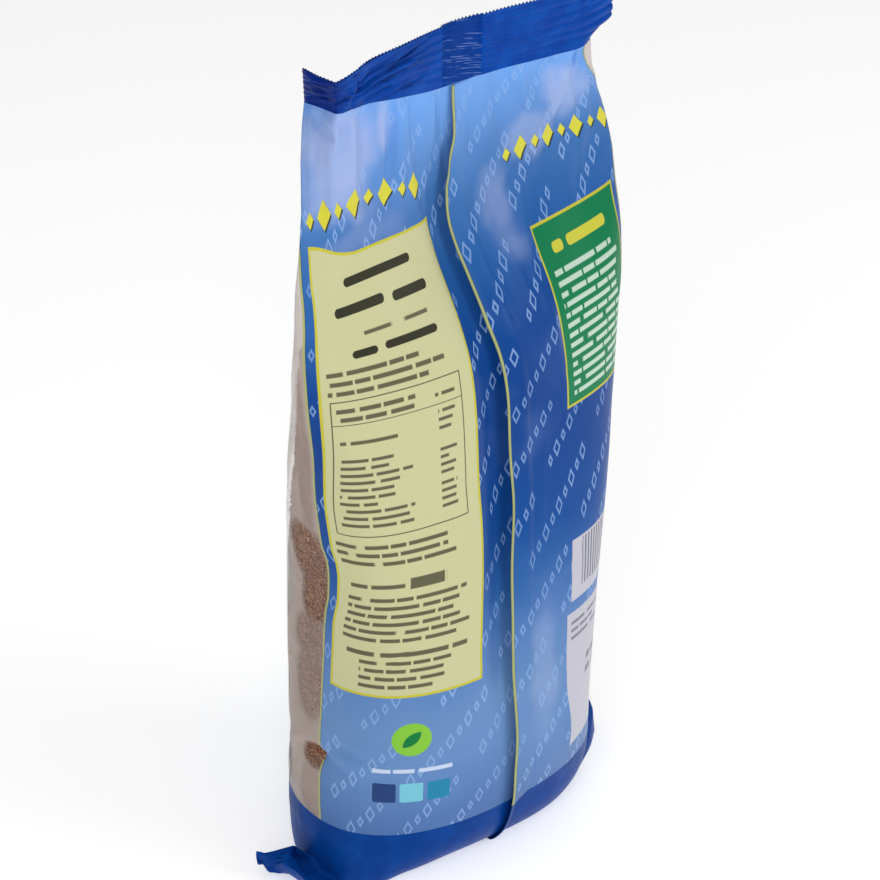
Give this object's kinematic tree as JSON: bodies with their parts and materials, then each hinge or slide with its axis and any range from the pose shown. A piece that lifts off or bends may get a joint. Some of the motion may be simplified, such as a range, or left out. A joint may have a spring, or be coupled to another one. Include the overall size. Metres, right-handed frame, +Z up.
{
  "type": "pouch of brown sugar",
  "caption": "Upright pillow pouch of brown cane sugar in blue printed film, with a crimped top seal, a fin seam up the back, clear side strips and folded bottom corners.",
  "frame": {"origin": "centre of the pouch's box on the surface it stands on", "axes": "+X across the pouch's width, +Y from the back with the fin seam to the front, +Z up"},
  "size_m": [0.1434, 0.0762, 0.2788],
  "materials": {
    "printed_film": "satin printed film, light blue fading to deep blue, with cream, green and white panels",
    "seal_film": "dark blue film, crimped in fine ribs at the top and folded under at the bottom",
    "clear_film": "clear film, slightly milky, with soft creases",
    "sugar": "brown granulated cane sugar with fine sparkling grains"
  },
  "bodies": {
    "root": {"pouch": "printed_film"}
  },
  "joints": []
}
